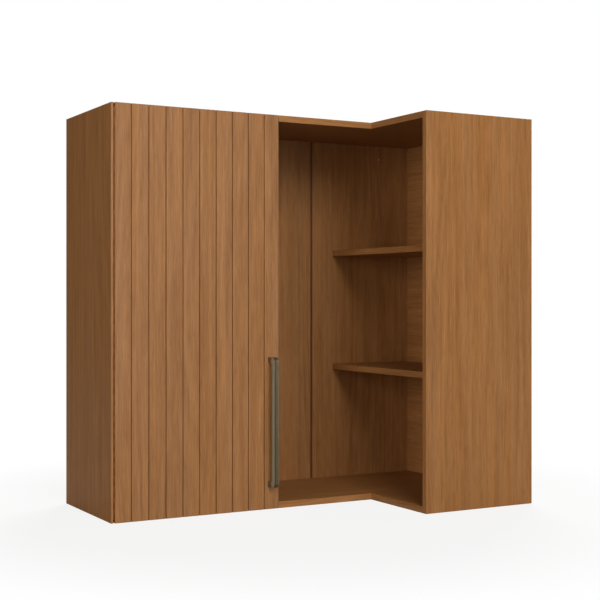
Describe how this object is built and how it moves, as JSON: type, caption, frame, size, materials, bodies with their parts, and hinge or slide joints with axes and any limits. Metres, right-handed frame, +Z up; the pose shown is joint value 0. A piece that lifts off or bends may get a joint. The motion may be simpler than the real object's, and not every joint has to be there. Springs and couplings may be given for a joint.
{
  "type": "corner wall cabinet",
  "caption": "L-shaped corner wall cabinet in wood-grain board with one grooved door on a continuous hinge, a bow handle and an open corner niche with shelves.",
  "frame": {"origin": "middle of the rectangle that the cabinet covers, at its underside", "axes": "+X to the right along the rear wall, +Y towards the rear wall, +Z up"},
  "size_m": [0.97, 0.538, 0.915],
  "materials": {
    "wood": "satin",
    "thin_wood": "satin",
    "raw_wood": "matte",
    "dark_plastic": "matte",
    "bronze": "satin",
    "zinc": "matte",
    "steel": "satin",
    "magnet": "matte",
    "bumper": "soft"
  },
  "bodies": {
    "cabinet": {"left_side": "wood", "end_panel": "wood", "top_panel": "wood", "bottom_panel": "wood", "upper_shelves": "wood", "lowest_shelf": "wood", "rear_back_left": "thin_wood", "rear_back_right": "thin_wood", "side_back": "thin_wood", "back_joint_strip": "dark_plastic", "top_hanging_rail": "raw_wood", "bottom_hanging_rail": "raw_wood", "shelf_post": "raw_wood", "corner_post": "raw_wood", "cam_housings": "zinc", "cam_bolts": "steel", "panel_dowels": "raw_wood", "rail_dowels": "raw_wood", "rail_screws": "steel", "shelf_screws": "steel", "shelf_pins": "steel", "back_nails": "steel", "hinge_side_leaf": "bronze", "hinge_pin": "steel", "hinge_side_screws": "bronze", "catch_cases": "dark_plastic", "catch_magnets": "magnet", "catch_poles": "steel", "catch_screws": "steel"},
    "door": {"door_panel": "wood", "hinge_door_leaf": "bronze", "hinge_door_screws": "bronze", "handle": "bronze", "handle_screws": "steel", "strike_plates": "steel", "strike_screws": "steel", "door_bumpers": "bumper"}
  },
  "joints": [
    {"name": "door_hinge", "type": "hinge", "parent": "cabinet", "child": "door", "pos_m": [-0.47785, -0.0344, 0.4575], "axis": [0, 0, -1], "range_deg": [0, 135]}
  ]
}
